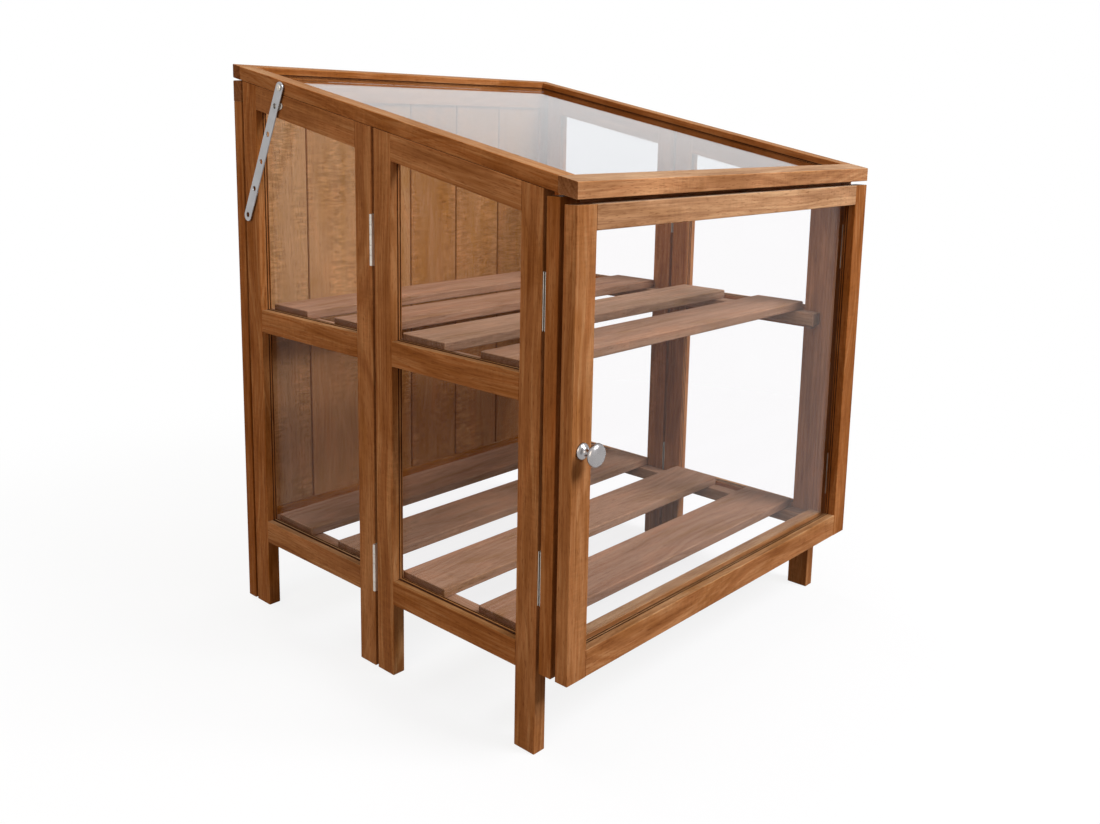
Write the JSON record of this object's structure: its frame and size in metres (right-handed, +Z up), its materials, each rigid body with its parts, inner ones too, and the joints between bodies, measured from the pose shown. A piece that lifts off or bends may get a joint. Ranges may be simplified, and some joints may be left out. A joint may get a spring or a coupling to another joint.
{
  "type": "wooden mini greenhouse",
  "caption": "Small hardwood greenhouse with glazed folding sides, a full-width glazed door, a sloping glazed lid on a perforated stay and slatted shelves.",
  "frame": {"origin": "centre of the footprint, on the ground", "axes": "+Z up, -Y out of the door at the front, +X to the right of someone who faces the door"},
  "size_m": [0.6104, 0.6288, 0.735],
  "materials": {
    "frame_wood": "oiled hardwood, satin",
    "shelf_wood": "planed hardwood, matt",
    "board_wood": "grooved board, satin",
    "glass": "clear float glass",
    "hinge_steel": "zinc-plated",
    "stay_aluminium": "satin",
    "knob_chrome": "polished"
  },
  "bodies": {
    "cabinet": {"left_front_frame": "frame_wood", "left_front_lower_pane": "glass", "left_front_upper_pane": "glass", "left_rear_frame": "frame_wood", "left_rear_lower_pane": "glass", "left_rear_upper_pane": "glass", "left_front_corner_hinge_lower": "hinge_steel", "left_front_corner_hinge_upper": "hinge_steel", "left_middle_hinge_lower": "hinge_steel", "left_middle_hinge_upper": "hinge_steel", "left_rear_corner_hinge_lower": "hinge_steel", "left_rear_corner_hinge_upper": "hinge_steel", "right_front_frame": "frame_wood", "right_front_lower_pane": "glass", "right_front_upper_pane": "glass", "right_rear_frame": "frame_wood", "right_rear_lower_pane": "glass", "right_rear_upper_pane": "glass", "right_front_corner_hinge_lower": "hinge_steel", "right_front_corner_hinge_upper": "hinge_steel", "right_middle_hinge_lower": "hinge_steel", "right_middle_hinge_upper": "hinge_steel", "right_rear_corner_hinge_lower": "hinge_steel", "right_rear_corner_hinge_upper": "hinge_steel", "front_frame": "frame_wood", "back_frame": "frame_wood", "back_panel": "board_wood", "door_hinge_lower_frame_leaf": "hinge_steel", "door_hinge_upper_frame_leaf": "hinge_steel", "lid_hinge_left_wall_leaf": "hinge_steel", "lid_hinge_right_wall_leaf": "hinge_steel", "stay_peg": "hinge_steel"},
    "lid": {"lid_frame": "frame_wood", "lid_pane": "glass", "lid_hinge_left_lid_leaf": "hinge_steel", "lid_hinge_right_lid_leaf": "hinge_steel", "stay_screw": "hinge_steel"},
    "door": {"door_frame": "frame_wood", "door_pane": "glass", "door_knob": "knob_chrome", "door_hinge_lower_door_leaf": "hinge_steel", "door_hinge_upper_door_leaf": "hinge_steel"},
    "stay": {"stay_strap": "stay_aluminium"},
    "bottom_shelf": {"bottom_shelf_left_batten": "shelf_wood", "bottom_shelf_right_batten": "shelf_wood", "bottom_shelf_slat_1": "shelf_wood", "bottom_shelf_slat_2": "shelf_wood", "bottom_shelf_slat_3": "shelf_wood", "bottom_shelf_slat_4": "shelf_wood"},
    "middle_shelf": {"middle_shelf_left_batten": "shelf_wood", "middle_shelf_right_batten": "shelf_wood", "middle_shelf_slat_1": "shelf_wood", "middle_shelf_slat_2": "shelf_wood", "middle_shelf_slat_3": "shelf_wood", "middle_shelf_slat_4": "shelf_wood"}
  },
  "joints": [
    {"name": "lid_hinge", "type": "hinge", "parent": "cabinet", "child": "lid", "pos_m": [0, 0.31225, 0.71579], "axis": [-1, 0, 0], "range_deg": [0, 95]},
    {"name": "door_hinge", "type": "hinge", "parent": "cabinet", "child": "door", "pos_m": [0.30095, -0.27025, 0.344], "axis": [0, 0, 1], "range_deg": [0, 170]},
    {"name": "stay_pivot", "type": "hinge", "parent": "lid", "child": "stay", "pos_m": [-0.30245, 0.19825, 0.70384], "axis": [1, 0, 0], "range_deg": [0, 36]},
    {"name": "bottom_shelf_lift", "type": "slide", "parent": "cabinet", "child": "bottom_shelf", "axis": [0, 0, 1], "range_m": [0, 0.1]},
    {"name": "middle_shelf_lift", "type": "slide", "parent": "cabinet", "child": "middle_shelf", "axis": [0, 0, 1], "range_m": [0, 0.1]}
  ],
  "couplings": [
    {"joint": "stay_pivot", "follows": "lid_hinge", "ratio": 0.37}
  ]
}
